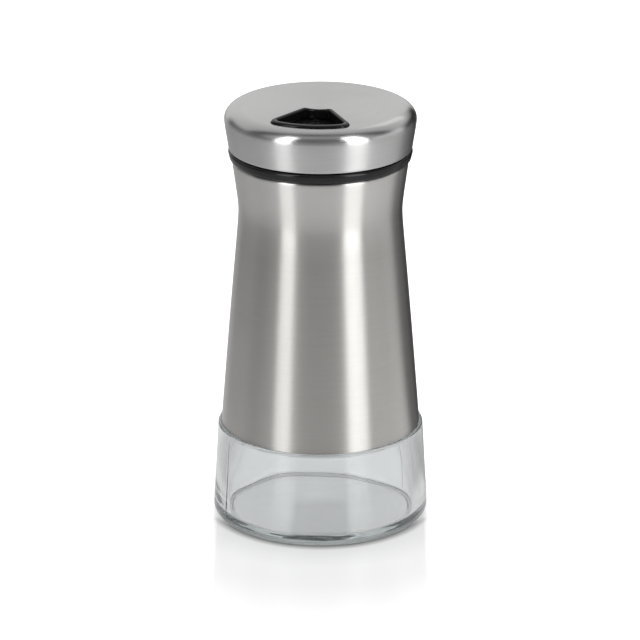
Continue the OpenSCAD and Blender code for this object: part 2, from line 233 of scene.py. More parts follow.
AROUND = 240            # columns of a round surface
EVEN = np.arange(AROUND) * 360 / AROUND
SMALL_AROUND = 96       # columns of a post or a boss
SMALL = np.arange(SMALL_AROUND) * 360 / SMALL_AROUND
HOLE_STEPS = 40
DETENT_STEPS = 24
SAME = 1e-5             # millimetres


def columns(*parts):
    """Points, from a list of each coordinate."""
    return np.column_stack(parts)


def ellipse(centre, semi_r, semi_z, start, end, steps):
    """An ellipse's arc: the centre plus each half axis times the angle's cosine and sine."""
    angle = np.radians(np.linspace(start, end, steps + 1))
    return columns(centre[0] + semi_r * np.cos(angle), centre[1] + semi_z * np.sin(angle))


def arc(centre, radius, start, end, steps):
    """A circle's arc from one angle to another, in degrees, as points of a plane."""
    return ellipse(centre, radius, radius, start, end, steps)


def fillet(r, z, radius, start, steps, turn=90):
    """A quarter circle that rounds off a profile's corner at (r, z), onwards from a start angle."""
    middle = math.radians(start + turn / 2)
    beside, over = math.copysign(radius, math.cos(middle)), math.copysign(radius, math.sin(middle))
    return arc((r - beside, z - over), radius, start, start + turn, steps)


def line(start, end, steps=1):
    """Even steps from one point to another."""
    return np.linspace(start, end, steps + 1)


def ease(start, end, steps=14):
    """A half wave from one point to another: the radius follows (1 - cos) / 2 of the height's share."""
    t = np.linspace(0, 1, steps + 1)
    s = (1 - np.cos(np.pi * t)) / 2
    return columns(start[0] + (end[0] - start[0]) * s, start[1] + (end[1] - start[1]) * t)


def cubic(a, b, c, d):
    """A cubic curve: the four points weighted by the terms of (u + t) cubed."""
    t = np.linspace(0, 1, 25)[:, None]
    u = 1 - t
    return u ** 3 * a + 3 * u * u * t * b + 3 * u * t * t * c + t ** 3 * d


def chain(*parts):
    """Profile parts joined end to end, without the points that lie on each other."""
    points = np.concatenate([np.atleast_2d(part) for part in parts])
    apart = np.linalg.norm(np.diff(points, axis=0), axis=1) > SAME
    return points[np.concatenate([[True], apart])]


def sleeve_radius(z):
    """Sleeve's outer radius at a height: two straight flanks joined by a hyperbola, and a belly that
    is a parabola over the lower flank."""
    corner = WAIST_R - WAIST_BLEND
    low = (SLEEVE_FOOT_R - corner) * (WAIST_Z - z) / (WAIST_Z - LEDGE_Z)
    high = (SLEEVE_TOP_R - corner) * (z - WAIST_Z) / WAIST_DROP
    along = np.clip((z - LEDGE_Z) / (WAIST_Z - LEDGE_Z), 0, 1)
    bend = np.sqrt(((low - high) / 2) ** 2 + WAIST_BLEND ** 2)
    return corner + (low + high) / 2 + bend + SLEEVE_BELLY * 4 * along * (1 - along)


def sleeve_line(inset, start_z, end_z, steps):
    """Points that run inside the sleeve's outer face, inset from it, between two heights."""
    z = np.linspace(start_z, end_z, steps + 1)
    return columns(sleeve_radius(z) - inset, z)


def cap_side(inset):
    """Cap's side drawn in by inset: a cubic that opens upwards, then a quarter of an ellipse."""
    foot_r, widest_r = CAP_FOOT_R - inset, CAP_R - inset
    side = cubic((foot_r, CAP_Z), (foot_r + CAP_LEAN * CAP_SIDE_H / 3, CAP_Z + CAP_SIDE_H / 3),
                 (widest_r, CAP_Z + CAP_SIDE_H * SIDE_PULL), (widest_r, CAP_Z + CAP_SIDE_H))
    turn = ellipse((CAP_R - CAP_ROUND_R, TOP_Z - CAP_ROUND_H),
                   CAP_ROUND_R - inset, CAP_ROUND_H - inset, 0, 90, 28)
    return chain(side, turn)


def ridge(angle, z, foot_z):
    """Share of a thread's height, for a thread from foot_z to the neck's rim: 1 on its crest, falling
    over the flanks to 0 at the root, and rising from 0 over the lead-in at both ends."""
    first_z = foot_z + THREAD_PLAIN + THREAD_W / 2
    turns = (RIM_Z - foot_z - 2 * THREAD_PLAIN - THREAD_W) / PITCH
    around = angle / (2 * np.pi)
    nearest = np.round((z - first_z) / PITCH - around)
    turn = around + nearest
    off = np.abs(z - first_z - PITCH * turn)
    flank = np.clip((THREAD_W / 2 - off) / (THREAD_W / 4), 0, 1)
    lead = np.clip(np.minimum(turn, turns - turn) * 360 / LEAD_IN, 0, 1)
    return lead * flank * flank * (3 - 2 * flank)


def opening_outline(out_r, in_r, half, side, outer_round, inner_round, z, steps):
    """An opening about -Y between two arcs about the axis, its corners round. Its straight sides stand
    out by side from the radial lines at half, in degrees. steps are those of half the outer arc, a
    corner, a side and half the inner arc."""
    along = np.array([math.sin(math.radians(half)), -math.cos(math.radians(half))])
    across = np.array([-along[1], along[0]])
    outer_across, inner_across = side - outer_round, side - inner_round
    outer = outer_across * across + math.sqrt((out_r - outer_round) ** 2 - outer_across ** 2) * along
    inner = inner_across * across + math.sqrt((in_r + inner_round) ** 2 - inner_across ** 2) * along
    outer_a = math.degrees(math.atan2(outer[1], outer[0]))
    inner_a = math.degrees(math.atan2(inner[1], inner[0]))
    outer_arc = arc(outer, outer_round, outer_a, half, steps[1])
    inner_arc = arc(inner, inner_round, half, inner_a + 180, steps[1])
    right = np.concatenate([arc((0, 0), out_r, -90, outer_a, steps[0]), outer_arc[1:],
                            line(outer_arc[-1], inner_arc[0], steps[2])[1:],
                            inner_arc[1:], arc((0, 0), in_r, inner_a, -90, steps[3])[1:]])
    outline = np.concatenate([right, right[-2:0:-1] * (-1, 1)])
    return columns(outline, np.full(len(outline), z))


def window_outline(share, inset, z):
    """Window's outline, drawn in by inset: share 0 is its frame's outer edge and 1 is the opening."""
    out_w, side_w, in_w = (share * width + inset for width in (FRAME_OUT_W, FRAME_SIDE_W, FRAME_IN_W))
    inner_round = max(WINDOW_IN_ROUND - side_w, LEAST_ROUND)
    return opening_outline(WINDOW_OUT_R - out_w, WINDOW_IN_R + in_w, WINDOW_HALF, WINDOW_SIDE - side_w,
                           WINDOW_ROUND - side_w, inner_round, z, (24, 14, 8, 14))


def hole_outline(place, radius, inset, z):
    """A round hole's outline, drawn in by inset."""
    return circle(place, radius - inset, z, HOLE_STEPS)


def pour_outline(inset, z):
    """Pouring hole's outline about +Y, drawn in by inset."""
    return opening_outline(HOLE_LIMIT_R - inset, FIRST_HOLE_R + inset, POUR_HALF, -inset,
                           POUR_ROUND - inset, POUR_ROUND - inset, z, (6, 6, 1, 4)) * (-1, -1, 1)


def polar(radius, turn):
    """A place at a radius from the axis, in a direction in degrees from +X."""
    return radius * np.array([math.cos(math.radians(turn)), math.sin(math.radians(turn))])


def circle(centre, radius, z, steps):
    """A circle's points, counter-clockwise from +X."""
    angle = np.arange(steps) * 2 * np.pi / steps
    return columns(centre[0] + radius * np.cos(angle), centre[1] + radius * np.sin(angle),
                   np.full(steps, z))


def ring(radius, z, steps=AROUND):
    """A circle about the axis."""
    return circle((0, 0), radius, z, steps)


def hole_places(rows, hole_r, turn):
    """Centres of a triangle of holes about a direction: row i has i + 1 holes, as far apart on
    their arc as the rows are."""
    first = FIRST_HOLE_R + hole_r
    step = (HOLE_LIMIT_R - hole_r - first) / (rows - 1)
    places = []
    for row in range(rows):
        radius = first + row * step
        for k in range(row + 1):
            angle = math.radians(turn) + (k - row / 2) * step / radius
            places.append((radius * math.cos(angle), radius * math.sin(angle)))
    return places


# ---- meshes

WELD = 2e-4             # millimetres within which corners are one
CREASE = math.radians(38)
INSIDE_WITHOUT_HOLES = 2    # what delaunay_2d_cdt gives back
CDT_NEAR = 1e-7


class Shape:
    """The surfaces of one piece, welded where their edges meet."""

    def __init__(self):
        self.points, self.faces, self.count = [], [], 0

    def _keep(self, points):
        index = self.count + np.arange(len(points))
        self.points.append(points)
        self.count += len(points)
        return index

    def grid(self, points):
        """Quads over rows of points. Each row is a closed loop, and faces look outwards where the
        loops run counter-clockwise and the rows rise or close in."""
        index = self._keep(points.reshape(-1, 3)).reshape(points.shape[:2])
        right = np.roll(index, -1, axis=1)
        quads = np.stack([index[:-1], right[:-1], right[1:], index[1:]], axis=-1)
        self.faces.append(quads.reshape(-1, 4))

    def lathe(self, profile, angles=EVEN, push=None):
        """A profile of (radius, height) turned about Z. push(angle, radius, height) gives a length
        to add to the radius at each point."""
        angle, radius, height = np.broadcast_arrays(np.radians(angles), profile[:, :1], profile[:, 1:])
        if push is not None:
            radius = radius + push(angle, radius, height)
        self.grid(np.stack([radius * np.cos(angle), radius * np.sin(angle), height], axis=-1))
        return self

    def flat(self, outline, holes, facing):
        """Triangles between an outline and the holes in it. facing is 1 for up and -1 for down."""
        loops = [outline, *holes]
        points = np.concatenate(loops)
        ends = np.cumsum([len(loop) for loop in loops])
        rings = [list(range(end - len(loop), end)) for end, loop in zip(ends.tolist(), loops)]
        corners = [Vector((x, y)) for x, y in points[:, :2].tolist()]
        found, _, triangles, origin, _, _ = delaunay_2d_cdt(
            corners, [], rings, INSIDE_WITHOUT_HOLES, CDT_NEAR)
        index = self._keep(points[[source[0] for source in origin]])
        triangles = np.array(triangles)
        a, b, c = (np.array(found)[triangles[:, k]] for k in range(3))
        area = (b[:, 0] - a[:, 0]) * (c[:, 1] - a[:, 1]) - (b[:, 1] - a[:, 1]) * (c[:, 0] - a[:, 0])
        turned = np.where((area * facing > 0)[:, None], triangles, triangles[:, ::-1])
        self.faces.append(index[turned])

    def wall(self, outline_at, profile):
        """A profile of (inset, height) carried along an outline, which outline_at gives for each."""
        self.grid(np.stack([outline_at(inset, z) for inset, z in profile]))

    def mesh(self, name):
        """The welded mesh, in metres, smooth except where faces meet at a sharp angle."""
        points = np.concatenate(self.points)
        _, first, welded = np.unique(np.round(points / WELD).astype(np.int64), axis=0,
                                     return_index=True, return_inverse=True)
        welded = welded.ravel()
        faces = []
        for block in self.faces:
            corners = welded[block]
            apart = corners != np.roll(corners, -1, axis=1)
            whole = apart.all(axis=1)
            faces += corners[whole].tolist()
            faces += [f[keep].tolist() for f, keep in zip(corners[~whole], apart[~whole])
                      if keep.sum() > 2]
        mesh = bpy.data.meshes.new(name)
        mesh.from_pydata(points[first] * MM, [], faces)
        mesh.validate()
        mesh.shade_smooth()
        mesh.set_sharp_from_angle(angle=CREASE)
        mesh.update()
        return mesh


def put(name, data):
    """A new object in the scene."""
    item = bpy.data.objects.new(name, data)
    scene.collection.objects.link(item)
    return item


def add_piece(name, shape, body, nodes, material):
    """Makes a shape into a piece that stands for CAD nodes and rides on their body."""
    piece = put(name, shape.mesh(name))
    piece.data.materials.append(material)
    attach(piece, body)
    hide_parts(*nodes)


# ---- the jar

def jar_angles():
    """Even columns, with finer ones over the two mould seams."""
    fine = np.linspace(-SEAM_SPAN, SEAM_SPAN, 13)
    seams = np.concatenate([angle + fine for angle in SEAM_ANGLES]) % 360
    near = np.abs((EVEN[:, None] - np.array(SEAM_ANGLES)[None, :] + 180) % 360 - 180).min(axis=1)
    return np.sort(np.concatenate([EVEN[near > SEAM_SPAN], seams]))


def glass_jar_shape():
    """The jar as one closed profile turned about Z: up the outside with its thread and two bell-shaped
    mould seams, over the rim, and down the inside, which wavers a little as pressed glass does."""
    shoulder_z = WAIST_Z - SHOULDER_H
    inset = SLEEVE_T + GLUE_GAP
    seam_z, seam_start, seam_end = SEAM_FADES

    def outside_push(angle, radius, z):
        thread = THREAD_H * ridge(angle % (2 * np.pi), z, BEAD_TOP_Z)
        thread = thread * ((z > BEAD_TOP_Z + THREAD_END) & (z < RIM_Z - THREAD_END))
        seam = 0
        for seam_angle in SEAM_ANGLES:
            turn = (angle - math.radians(seam_angle) + np.pi) % (2 * np.pi) - np.pi
            seam += SEAM_H * np.exp(-(turn * radius / SEAM_W) ** 2)
        starting = np.clip((z - seam_z) / seam_start, 0, 1)
        ending = np.clip((LEDGE_Z - LEDGE_ROUND - z) / seam_end, 0, 1)
        return thread + seam * (starting * ending)

    outside = chain(
        line((0, PUSH_UP), (REST_IN_R - PUSH_UP * 2, PUSH_UP), 12),
        ease((REST_IN_R - PUSH_UP * 2, PUSH_UP), (REST_IN_R, 0)),
        line((REST_IN_R, 0), (REST_R, 0), 3),
        fillet(FOOT_R, 0, FOOT_ROUND, -90, 14),
        line((FOOT_R, FOOT_ROUND), (LEDGE_R, LEDGE_Z - LEDGE_ROUND), 30),
        fillet(LEDGE_R, LEDGE_Z, LEDGE_ROUND, 0, 12),
        line((LEDGE_R - LEDGE_ROUND, LEDGE_Z), (sleeve_radius(LEDGE_Z) - inset, LEDGE_Z), 2),
        sleeve_line(inset, LEDGE_Z, shoulder_z, 40),
        ease((sleeve_radius(shoulder_z) - inset, shoulder_z), (NECK_R, WAIST_Z)),
        (NECK_R, BEAD_Z - (BEAD_R - NECK_R) / 2),
        arc((BEAD_R - BEAD_ROUND, BEAD_Z + BEAD_ROUND), BEAD_ROUND, -30, 0, 3),
        fillet(BEAD_R, BEAD_TOP_Z, BEAD_ROUND, 0, 6),
        line((NECK_R, BEAD_TOP_Z), (NECK_R, RIM_Z - RIM_ROUND), 84),
        fillet(NECK_R, RIM_Z, RIM_ROUND, 0, 8))

    inside_z = PUSH_UP + JAR_FLOOR
    inside_foot_r = LEDGE_R + FOOT_TAPER * (LEDGE_Z - inside_z) / LEDGE_Z - JAR_WALL
    upper_z = LEDGE_Z + INNER_BEND_H

    def inside_push(angle, radius, z):
        """Two slow waves round the wall that fade out at the neck and at the middle of the floor."""
        fade = np.clip((WAIST_Z - z) / WAVE_FADE, 0, 1) * np.clip(radius / WAVE_FADE, 0, 1) ** 2
        return fade * sum(high * np.sin(a * angle + b * z + c) for a, b, c, high in WAVES)

    inside = chain(
        fillet(BORE_R, RIM_Z, RIM_ROUND, 90, 8),
        line((BORE_R, RIM_Z - RIM_ROUND), (BORE_R, WAIST_Z), 8),
        ease((BORE_R, WAIST_Z), (sleeve_radius(shoulder_z) - inset - UPPER_WALL, shoulder_z)),
        sleeve_line(inset + UPPER_WALL, shoulder_z, upper_z, 30),
        ease((sleeve_radius(upper_z) - inset - UPPER_WALL, upper_z),
             (inside_foot_r, inside_z + INNER_ROUND), 16),
        fillet(inside_foot_r, inside_z, INNER_ROUND, 0, 18, -90),
        line((inside_foot_r - INNER_ROUND, inside_z), (0, inside_z - FLOOR_DISH), 16))
    shape = Shape()
    angles = jar_angles()
    shape.lathe(outside, angles, outside_push)
    shape.lathe(line(outside[-1], inside[0]), angles)
    shape.lathe(inside, angles, inside_push)
    return shape


# ---- sleeve, adhesive and gasket

def steel_sleeve_shape():
    """The sleeve's sheet: up the outside, over the turned-in lip, down the inside, with its lower
    edge rounded as a deburred edge is."""
    lip_round = LIP_BEND + SLEEVE_T
    side_top = SLEEVE_TOP_Z - lip_round
    bend = (sleeve_radius(side_top) - lip_round, side_top)
    foot, edge = sleeve_radius(LEDGE_Z), SLEEVE_EDGE
    return Shape().lathe(chain(
        (foot - SLEEVE_T + edge, LEDGE_Z),
        fillet(foot, LEDGE_Z, edge, -90, 5),
        sleeve_line(0, LEDGE_Z + edge, side_top, 110),
        arc(bend, lip_round, 0, 90, 12),
        fillet(LIP_R, SLEEVE_TOP_Z, edge, 90, 4),
        fillet(LIP_R, BEAD_TOP_Z, edge, 180, 4),
        arc(bend, lip_round - SLEEVE_T, 90, 0, 6),
        sleeve_line(SLEEVE_T, side_top, LEDGE_Z + edge, 60),
        (foot - SLEEVE_T + edge, LEDGE_Z)))


def adhesive_heights():
    """Lowest and highest height of the two beads, from the CAD node's own corners."""
    heights = np.array([v.co.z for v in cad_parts["sleeve_adhesive"].data.vertices]) / MM
    middle = (heights.min() + heights.max()) / 2
    low, high = heights[heights < middle], heights[heights > middle]
    return (low.min(), low.max()), (high.min(), high.max())


def sleeve_adhesive_shape():
    """Two beads of adhesive that fill the gap between glass and sleeve, hollow at their free faces."""
    shape = Shape()
    half_turn = np.pi * np.linspace(0, 1, 9)
    hollow = GLUE_HOLLOW * np.sin(half_turn)[1:-1]
    depth = SLEEVE_T + GLUE_GAP / 2 + GLUE_GAP / 2 * np.cos(half_turn)[1:-1]
    for low, high in adhesive_heights():
        bottom = columns(sleeve_radius(low + hollow) - depth, low + hollow)
        outer = sleeve_line(SLEEVE_T, low, high, 8)
        inner = sleeve_line(SLEEVE_T + GLUE_GAP, low, high, 8)
        top = columns(sleeve_radius(high - hollow) - depth[::-1], high - hollow)
        shape.lathe(chain(inner[:1], bottom, outer, top, inner[::-1]))
    return shape


def lid_gasket_shape():
    """The sealing ring: a flat ring with rounded edges and two low beads on each face."""
    inner, outer, edge = GASKET_IN_R, GASKET_R, GASKET_EDGE
    r = np.linspace(inner + edge, outer - edge, 41)
    groove = GROOVE * (1 - np.cos(2 * np.pi * GROOVES * (r - r[0]) / (r[-1] - r[0]))) / 2
    return Shape().lathe(chain(
        columns(r, RIM_Z + groove),
        fillet(outer, RIM_Z, edge, -90, 4),
        fillet(outer, DECK_Z, edge, 0, 4),
        columns(r, DECK_Z - groove)[::-1],
        fillet(inner, DECK_Z, edge, 90, 4),
        fillet(inner, RIM_Z, edge, 180, 4)))


# ---- lid base

def lid_base_shape():
    """The threaded base: a turned outside, a deck pierced by its holes, a boss for the dial's post
    and a wall with the thread inside."""
    shape = Shape()
    foot_r = RING_R - RING_LEAN
    shape.lathe(chain(
        (LID_IN_R, RING_Z + LID_EDGE),
        line((LID_IN_R + LID_EDGE, RING_Z), (foot_r - RING_ROUND, RING_Z), 4),
        fillet(foot_r, RING_Z, RING_ROUND, -90, 8),
        fillet(RING_R, RING_TOP_Z, RING_CROWN, 0, 12),
        line((RING_R - RING_CROWN, RING_TOP_Z), (LID_R + LID_FILLET, RING_TOP_Z), 4),
        fillet(LID_R, RING_TOP_Z, LID_FILLET, 270, 4, -90),
        line((LID_R, RING_TOP_Z + LID_FILLET), (LID_R, DECK_TOP_Z - LID_EDGE), 6),
        fillet(LID_R, DECK_TOP_Z, LID_EDGE, 0, 6)))

    # Deck: what shows between its outlines, and a wall round each of them
    post_r, boss_r = POST_R + POST_GAP, WASHER_R + BOSS_EDGE
    top_holes = [ring(post_r + HOLE_EDGE, DECK_TOP_Z, SMALL_AROUND)]
    under_holes = [ring(boss_r, DECK_Z, SMALL_AROUND)]

    def pierce(outline_at, rim_h=0):
        """A hole with this outline, with a raised rim round its upper edge or only a rounded edge."""
        rim = ellipse((-HOLE_RIM_W / 2, 0), HOLE_RIM_W / 2, rim_h, 180, 0, 12)
        edge = fillet(0, 0, HOLE_EDGE, 0, 4)
        top = rim if rim_h else edge[::-1]
        profile = chain(top + (0, DECK_TOP_Z), edge * (1, -1) + (0, DECK_Z))
        shape.wall(outline_at, profile)
        top_holes.append(outline_at(profile[0, 0], DECK_TOP_Z))
        under_holes.append(outline_at(profile[-1, 0], DECK_Z))

    for place in hole_places(COARSE_ROWS, COARSE_R, -90):
        pierce(partial(hole_outline, place, COARSE_R), HOLE_RIM_H)
    for place in hole_places(FINE_ROWS, FINE_R, 0):
        pierce(partial(hole_outline, place, FINE_R))
    pierce(pour_outline)
    dimple_r = math.sqrt(BUMP_BALL ** 2 - (BUMP_BALL - BUMP_H) ** 2)
    dimple_arc = math.degrees(math.asin(dimple_r / BUMP_BALL))
    bowl = arc((0, DECK_TOP_Z - BUMP_H + BUMP_BALL), BUMP_BALL, -90 + dimple_arc, -90, 8)
    for turn in DETENT_TURNS:
        rings = [circle(polar(DETENT_R, turn), r, z, DETENT_STEPS) for r, z in bowl]
        shape.grid(np.stack(rings))
        top_holes.append(rings[0])
    shape.flat(ring(LID_R - LID_EDGE, DECK_TOP_Z), top_holes, 1)
    shape.flat(ring(LID_IN_R, DECK_Z), under_holes, -1)

    # Boss round the dial's post
    shape.lathe(chain(
        fillet(post_r, DECK_TOP_Z, HOLE_EDGE, 90, 4),
        fillet(post_r, BOSS_Z, HOLE_EDGE, 180, 4),
        fillet(boss_r, BOSS_Z, BOSS_ROUND, -90, 6), (boss_r, DECK_Z)), SMALL)

    # Inside wall, from the deck down, with the thread standing inwards. It starts where its flank
    # lies under the flank of the neck's thread, with a little play between them.
    flank_w = THREAD_W * (1.5 - (THREAD_GAP + THREAD_SUNK) / (THREAD_H + THREAD_SUNK) / 2) / 2
    start = 2 * math.pi * (RING_Z - BEAD_TOP_Z + flank_w + THREAD_PLAY) / PITCH

    def thread_push(angle, radius, z):
        thread = ridge((angle - start) % (2 * np.pi), z, RING_Z)
        return -THREAD_H * thread * ((z > RING_Z + LID_THREAD_END) & (z < DECK_Z - THREAD_END))

    shape.lathe(line((LID_IN_R, DECK_Z), (LID_IN_R, RING_Z + LID_EDGE), 96), push=thread_push)
    return shape


# ---- dial insert and steel cap

def lip_rows(low_z):
    """Rows over the lip from its outer edge to the opening. A row's share t of the way across has the
    height FRAME_CROWN * (1 - |2t - 1| ** p) ** (1 / p) over low_z, where p is FRAME_POWER: an arch
    that starts upright."""
    share = (1 - np.cos(np.linspace(0, np.pi, 21))) / 2
    rise = FRAME_CROWN * (1 - np.abs(2 * share - 1) ** FRAME_POWER) ** (1 / FRAME_POWER)
    return np.stack([window_outline(t, 0, low_z + z) for t, z in zip(share, rise)])


def dial_insert_shape():
    """The dial's plastic: a skirt and a plate under the steel, a post, and a window frame whose lip
    stands above the steel."""
    shape = Shape()
    side = cap_side(CAP_T + FIT_GAP)
    side = side[side[:, 1] > SKIRT_Z + SKIRT_SLACK]
    shape.lathe(chain(
        (SKIRT_IN_R, SKIRT_Z + SKIRT_EDGE), (SKIRT_IN_R + SKIRT_EDGE, SKIRT_Z),
        (side[0, 0] - SKIRT_LEAN, SKIRT_Z), side))
    outer, opening = partial(window_outline, 0), partial(window_outline, 1)
    shape.flat(ring(CAP_R - CAP_ROUND_R, PLATE_TOP_Z), [outer(0, PLATE_TOP_Z)], 1)
    lip_z = FRAME_TOP_Z - FRAME_CROWN
    shape.wall(outer, line((0, PLATE_TOP_Z), (0, lip_z), 3))
    shape.grid(lip_rows(lip_z))
    shape.wall(opening, chain(line((0, lip_z), (0, PLATE_Z + FRAME_EDGE), 3),
                              fillet(0, PLATE_Z, FRAME_EDGE, 0, 4, -90)))
    bump_z = DECK_TOP_Z - (BUMP_H - DIAL_GAP) + BUMP_BALL
    reach = math.degrees(math.acos((bump_z - PLATE_Z) / BUMP_BALL))
    ball = arc((0, bump_z), BUMP_BALL, -90, -90 + reach, 6)
    place = polar(DETENT_R, DETENT_TURNS[0])
    shape.grid(np.stack([circle(place, r, z, DETENT_STEPS) for r, z in ball]))
    shape.flat(ring(SKIRT_IN_R, PLATE_Z),
               [ring(POST_R + POST_ROUND, PLATE_Z, SMALL_AROUND), opening(-FRAME_EDGE, PLATE_Z),
                circle(place, ball[-1, 0], PLATE_Z, DETENT_STEPS)], -1)
    shape.lathe(chain(
        (0, POST_Z + SCREW_GRIP), (SCREW_R, POST_Z + SCREW_GRIP), (SCREW_R, POST_Z),
        fillet(POST_R, POST_Z, POST_ROUND, -90, 4),
        fillet(POST_R, PLATE_Z, POST_ROUND, 180, 4, -90)), SMALL)
    shape.lathe(line((SKIRT_IN_R, PLATE_Z), (SKIRT_IN_R, SKIRT_Z + SKIRT_EDGE), 4))
    return shape


def steel_cap_shape():
    """The cap's sheet: a turned side, a flat top with the window punched in it, and an edge curled
    in under the skirt."""
    shape = Shape()
    flat_r = CAP_R - CAP_ROUND_R + FLAT_SLACK
    top_z = TOP_Z - CAP_ROUND_H * (1 - math.sqrt(1 - (FLAT_SLACK / CAP_ROUND_R) ** 2))
    outside, inside = cap_side(0), cap_side(CAP_T)
    outside = outside[(outside[:, 1] > CAP_Z + CAP_EDGE) & (outside[:, 0] > flat_r)]
    foot = fillet(CAP_FOOT_R, CAP_Z, CAP_EDGE, -90, 8)
    shape.lathe(chain(foot, outside, (flat_r, top_z)))

    def hole_at(inset, z):
        return window_outline(0, inset - FRAME_GAP, z)

    under_z = TOP_Z - CAP_T
    shape.flat(ring(flat_r, top_z), [hole_at(-PUNCHED_EDGE, TOP_Z)], 1)
    shape.wall(hole_at, chain(fillet(0, TOP_Z, PUNCHED_EDGE, 90, 6, -90),
                              (0, under_z)))
    shape.flat(ring(CAP_R - CAP_ROUND_R, under_z), [hole_at(0, under_z)], -1)
    hem_z, hem_r = CAP_Z + CAP_T, CAP_FOOT_R - HEM_W
    inside = inside[inside[:, 1] > hem_z + HEM_TURN]
    shape.lathe(chain(inside[::-1], (CAP_FOOT_R - CAP_T, hem_z + HEM_TURN),
                      (CAP_FOOT_R - CAP_T - HEM_TURN, hem_z), fillet(hem_r, hem_z, HEM_ROUND, 90, 4),
                      fillet(hem_r, CAP_Z, HEM_ROUND, 180, 4), foot[:1]))
    return shape


def washer_shape():
    """The washer under the screw: a stamped ring, its lower outer edge rounded and the others sharp."""
    bore = SCREW_R + FIT_GAP
    return Shape().lathe(chain(
        (bore, WASHER_Z), fillet(WASHER_R, WASHER_Z, WASHER_EDGE, -90, 4), (WASHER_R, POST_Z),
        (bore, POST_Z), (bore, WASHER_Z)), SMALL)


# ---- material helpers

MIDDLE = (0.3, 0.7)             # where most values of a noise lie
CLOUDS = (0.35, 0.65)
GRAINS = (0.35, 0.7)
LEAST_RADIUS = 1e-5             # metres, so that the axis gives no division by zero
BROAD_PER_MM = 0.9


class Nodes:
    """Short calls for the nodes that the finishes are made of."""

    def __init__(self, tree):
        self.tree = tree

    def fill(self, node, **inputs):
        """Sets or links a node's inputs: by name, with underscores for spaces, or as i0, i1 and on."""
        for name, value in inputs.items():
            numbered = name[0] == "i" and name[1:].isdigit()
            socket = node.inputs[int(name[1:]) if numbered else name.replace("_", " ")]
            if isinstance(value, bpy.types.NodeSocket):
                self.tree.links.new(value, socket)
            else:
                socket.default_value = value
        return node

    def add(self, kind, settings=(), **inputs):
        """A new node with its settings and its inputs."""
        node = self.tree.nodes.new("ShaderNode" + kind)
        for name, value in dict(settings).items():
            setattr(node, name, value)
        return self.fill(node, **inputs)

    def math(self, operation, a, b=0.0):
        return self.add("Math", {"operation": operation}, i0=a, i1=b).outputs[0]

    def times(self, a, b):
        return self.math("MULTIPLY", a, b)

    def most(self, a, b):
        return self.math("MAXIMUM", a, b)

    def left_of(self, value):
        """What a value leaves of 1."""
        return self.math("SUBTRACT", 1.0, value)

    def blend(self, first, second, share):
        """A share of one value and the rest of another."""
        return self.math("ADD", self.times(first, share), self.times(second, 1 - share))

    def part(self, vector, axis):
        """A vector's component along an axis, by its number."""
        return self.add("SeparateXYZ", Vector=vector).outputs[axis]

    def length(self, vector):
        return self.add("VectorMath", {"operation": "LENGTH"}, i0=vector).outputs["Value"]

    def noise(self, vector, scale, detail=2.0, roughness=0.5, distortion=0.0):
        return self.add("TexNoise", Vector=vector, Scale=scale, Detail=detail, Roughness=roughness,
                        Distortion=distortion).outputs["Fac"]

    def scaled(self, vector, factors):
        return self.add("VectorMath", {"operation": "MULTIPLY"}, i0=vector, i1=factors).outputs[0]

    def ramp(self, value, low, high, to_low, to_high):
        """A value carried from one range to another, held at its ends."""
        return self.add("MapRange", {"clamp": True}, Value=value, From_Min=low, From_Max=high,
                        To_Min=to_low, To_Max=to_high).outputs["Result"]

    def mix(self, share, first, second):
        """A colour between two others."""
        return self.add("Mix", {"data_type": "RGBA"}, i0=share, i6=first, i7=second).outputs[2]

    def group(self, group, **inputs):
        return self.add("Group", {"node_tree": group}, **inputs).outputs

    def place(self):
        return self.add("TexCoord").outputs["Object"]

    def turned(self, vector):
        """A vector turned about Z, so that the camera's side is +X."""
        turn = (0, 0, math.radians(90 - CAMERA_AZIMUTH))
        return self.add("Mapping", Vector=vector, Rotation=turn).outputs[0]

    def levels(self, value, steps):
        """A grey that follows a value, from pairs of value and brightness in rising order."""
        low, high = steps[0][0], steps[-1][0]
        node = self.add("ValToRGB", Fac=self.ramp(value, low, high, 0, 1))
        elements = node.color_ramp.elements
        for at, _ in steps[1:-1]:
            elements.new((at - low) / (high - low))
        for element, (_, bright) in zip(elements, steps):
            element.color = (bright, bright, bright, 1)
        return node.outputs[0]

    def bands(self, vector, steps):
        """Upright bands round Z, from pairs of azimuth from the camera and brightness."""
        around = self.add("TexGradient", {"gradient_type": "RADIAL"}, Vector=self.turned(vector))
        return self.levels(self.ramp(around.outputs["Fac"], 0, 1, -180, 180), steps)

    def bump(self, height, strength, distance):
        return self.add("Bump", Height=height, Strength=strength, Distance=distance).outputs["Normal"]


def new_group(name, inputs, outputs):
    """A node group with inputs (name, value) and named outputs. Returns it, its node calls, the node
    of its outputs and the sockets of its inputs."""
    group = bpy.data.node_groups.new(name, "ShaderNodeTree")
    for label, value in inputs:
        socket = group.interface.new_socket(name=label, in_out="INPUT", socket_type="NodeSocketFloat")
        socket.default_value = value
    for label in outputs:
        group.interface.new_socket(name=label, in_out="OUTPUT", socket_type="NodeSocketFloat")
    entry, leave = group.nodes.new("NodeGroupInput"), group.nodes.new("NodeGroupOutput")
    return group, Nodes(group), leave, [entry.outputs[label] for label, _ in inputs]


def new_material(name, depth=None):
    """A material with a Principled shader, its node calls and that shader. depth is the colour and
    the density of what it absorbs inside."""
    material = bpy.data.materials.new(name)
    material.use_nodes = True
    material.node_tree.nodes.clear()
    nodes = Nodes(material.node_tree)
    shader = nodes.add("BsdfPrincipled")
    output = nodes.add("OutputMaterial", Surface=shader.outputs[0])
    if depth:
        inside = nodes.add("VolumeAbsorption", Color=depth[0], Density=depth[1])
        nodes.fill(output, Volume=inside.outputs[0])
    return material, nodes, shader


